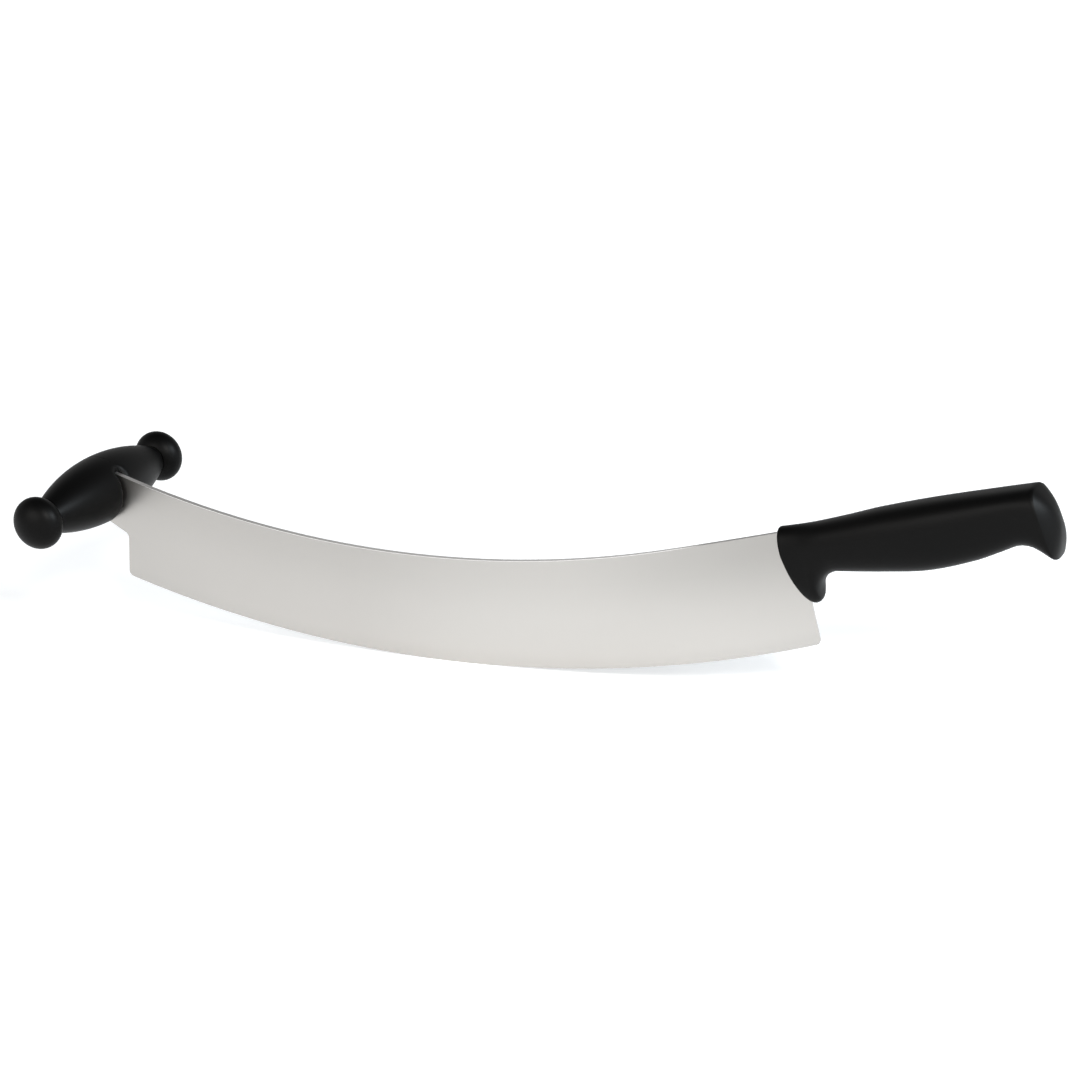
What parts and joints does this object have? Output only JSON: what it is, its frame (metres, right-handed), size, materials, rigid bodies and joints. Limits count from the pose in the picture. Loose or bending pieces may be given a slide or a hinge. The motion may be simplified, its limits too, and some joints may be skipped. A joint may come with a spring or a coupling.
{
  "type": "double-handled cheese knife",
  "caption": "Curved cheese knife with a turned cross handle over the blade's front and a moulded grip with finger guard behind.",
  "frame": {"origin": "under the middle of the knife's box, at the height of the lowest point of the cutting edge", "axes": "+X from the cross handle towards the rear handle, +Y along the cross handle, +Z from the edge up to the spine"},
  "size_m": [0.5039, 0.1232, 0.1098],
  "materials": {
    "blade_steel": "fine satin grind",
    "handle_plastic": "black, semi-matte, moulded",
    "stud_steel": "plain",
    "insert_brass": "plain"
  },
  "bodies": {
    "root": {"blade": "blade_steel", "rear_handle": "handle_plastic", "front_grip_near": "handle_plastic", "front_grip_far": "handle_plastic", "front_knob_near": "handle_plastic", "front_knob_far": "handle_plastic", "cross_stud": "stud_steel", "knob_insert_near": "insert_brass", "knob_insert_far": "insert_brass"}
  },
  "joints": []
}
